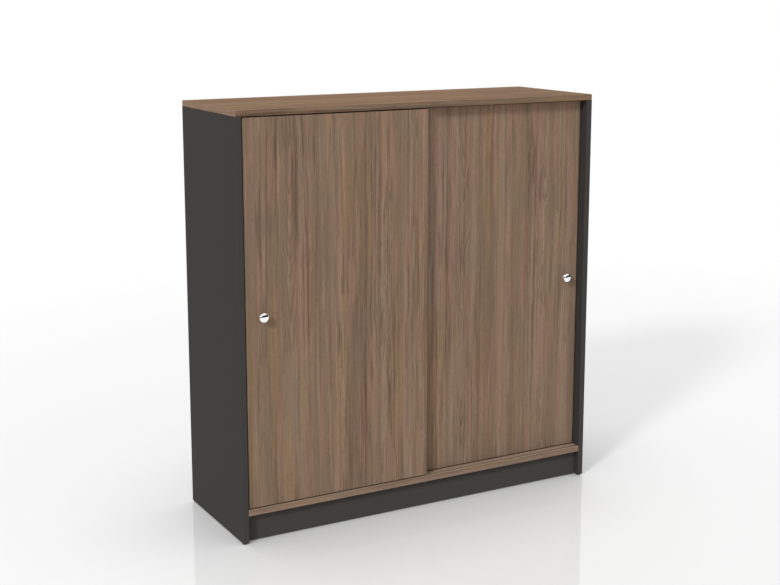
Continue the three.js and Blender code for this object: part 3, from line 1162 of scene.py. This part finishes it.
def make_world():
    """Soft light from all round, white behind what the camera sees. Polished metal mirrors the
    studio's regions, and a dark band in front, between the floor and the soft box."""
    world = bpy.data.worlds.new("white_studio")
    bpy.context.scene.world = world
    world.use_nodes = True
    tree = world.node_tree
    tree.nodes.clear()
    path = add_node(tree, "ShaderNodeLightPath")
    direction = add_node(tree, "ShaderNodeTexCoord").outputs["Generated"]
    parts = add_node(tree, "ShaderNodeSeparateXYZ", {"Vector": direction})
    regions = {}
    for region, (axis, start, full) in STUDIO_REGIONS.items():
        regions[region] = add_node(tree, "ShaderNodeMapRange", {
            "Value": parts.outputs[axis],
            "From Min": start,
            "From Max": full,
        }, interpolation_type="SMOOTHSTEP").outputs[0]
    soft_box = add_node(tree, "ShaderNodeMath", {
        0: regions["above"],
        1: regions["leftward"],
    }, operation="MULTIPLY")
    bright = add_node(tree, "ShaderNodeMath", {
        0: soft_box.outputs[0],
        1: regions["below"],
    }, operation="MAXIMUM")
    bright_or_behind = add_node(tree, "ShaderNodeMath", {
        0: bright.outputs[0],
        1: regions["behind"],
    }, operation="MAXIMUM")
    mirrored = add_node(tree, "ShaderNodeMix", {
        MIX_FACTOR: bright_or_behind.outputs[0],
        MIX_FROM: linear(studio_dark),
        MIX_TO: WHITE,
    }, data_type="RGBA")
    lighting = add_node(tree, "ShaderNodeBackground", {
        "Color": WHITE,
        "Strength": ambient_strength,
    })
    gloss = add_node(tree, "ShaderNodeBackground", {
        "Color": mirrored.outputs[MIX_RESULT],
        "Strength": 1.0,
    })
    white = add_node(tree, "ShaderNodeBackground", {"Color": WHITE, "Strength": 1.0})
    seen = add_node(tree, "ShaderNodeMath", {
        0: path.outputs["Is Camera Ray"],
        1: path.outputs["Is Transmission Ray"],
    }, operation="MAXIMUM")
    unseen = add_node(tree, "ShaderNodeMixShader", {
        0: path.outputs["Is Glossy Ray"],
        1: lighting.outputs[0],
        2: gloss.outputs[0],
    })
    shown = add_node(tree, "ShaderNodeMixShader", {
        0: seen.outputs[0],
        1: unseen.outputs[0],
        2: white.outputs[0],
    })
    add_node(tree, "ShaderNodeOutputWorld", {"Surface": shown.outputs[0]})


def floor_paint():
    """Pale gloss paint, which mirrors the cabinet faintly and carries its shadow. A share of
    the seen floor is its own white, dimmed only close to the cabinet's foot, and away from
    the cabinet it runs out to white. Mirrors and glass see it white."""
    material, tree = empty_material("pale_floor_paint")
    path = add_node(tree, "ShaderNodeLightPath")
    paint = add_node(tree, "ShaderNodeBsdfPrincipled", {
        "Base Color": linear(floor_colour),
        "Roughness": floor_roughness,
        "IOR": floor_ior,
    })
    foot_shade = add_node(tree, "ShaderNodeAmbientOcclusion", {
        "Distance": foot_shade_reach,
    }, samples=foot_shade_samples)
    own_white = add_node(tree, "ShaderNodeEmission", {
        "Color": foot_shade.outputs["Color"],
        "Strength": 1.0,
    })
    own_share = add_node(tree, "ShaderNodeMath", {
        0: path.outputs["Is Camera Ray"],
        1: floor_white_share,
    }, operation="MULTIPLY")
    near = add_node(tree, "ShaderNodeMixShader", {
        0: own_share.outputs[0],
        1: paint.outputs[0],
        2: own_white.outputs[0],
    })
    place = add_node(tree, "ShaderNodeTexCoord").outputs["Object"]
    away = add_node(tree, "ShaderNodeVectorMath", {
        0: place,
        1: fade_centre,
    }, operation="DISTANCE")
    fade = add_node(tree, "ShaderNodeMapRange", {
        "Value": away.outputs["Value"],
        "From Min": fade_start,
        "From Max": fade_end,
    }, interpolation_type="SMOOTHSTEP")
    seen_fade = add_node(tree, "ShaderNodeMath", {
        0: fade.outputs[0],
        1: path.outputs["Is Camera Ray"],
    }, operation="MULTIPLY")
    mirrored = add_node(tree, "ShaderNodeMath", {
        0: path.outputs["Is Glossy Ray"],
        1: path.outputs["Is Transmission Ray"],
    }, operation="MAXIMUM")
    white_share = add_node(tree, "ShaderNodeMath", {
        0: seen_fade.outputs[0],
        1: mirrored.outputs[0],
    }, operation="MAXIMUM")
    white = add_node(tree, "ShaderNodeEmission", {"Color": WHITE, "Strength": 1.0})
    mixed = add_node(tree, "ShaderNodeMixShader", {
        0: white_share.outputs[0],
        1: near.outputs[0],
        2: white.outputs[0],
    })
    add_node(tree, "ShaderNodeOutputMaterial", {"Surface": mixed.outputs[0]})
    return material


def make_floor():
    """A plain floor, far wider than the view."""
    bm = bmesh.new()
    bmesh.ops.create_grid(bm, x_segments=1, y_segments=1, size=floor_half_width)
    mesh = bpy.data.meshes.new("studio_floor")
    bm.to_mesh(mesh)
    bm.free()
    mesh.materials.append(floor_paint())
    floor = bpy.data.objects.new("studio_floor", mesh)
    bpy.context.scene.collection.objects.link(floor)


# Assembly of the scene

make_camera()
make_key_light()
make_world()
make_floor()
add_boards()
add_cam_covers()
for side in SIDES:
    add_knob(side)
    add_knob_screw(side)
    add_buffers(side)
    for end in ENDS:
        fitting = f"{side}_door_{end}"
        add_wheel(fitting)
        add_axle(fitting)
        add_housing_screws(fitting)
        add_guide_body(fitting)
        add_plunger(fitting)
        eased_copy(f"{fitting}_roller_housing", "brown_nylon")
    for depth in DEPTHS:
        add_glide(f"{side}_{depth}_glide")
    for row in SHELF_ROWS:
        for number in PIN_NUMBERS:
            eased_copy(f"{side}_shelf_{row}_pin_{number}", "nickel_steel")
for depth in DEPTHS:
    for level in LEVELS:
        eased_copy(f"{depth}_{level}_track", "brown_plastic")

bpy.context.scene.view_settings.view_transform = "Standard"
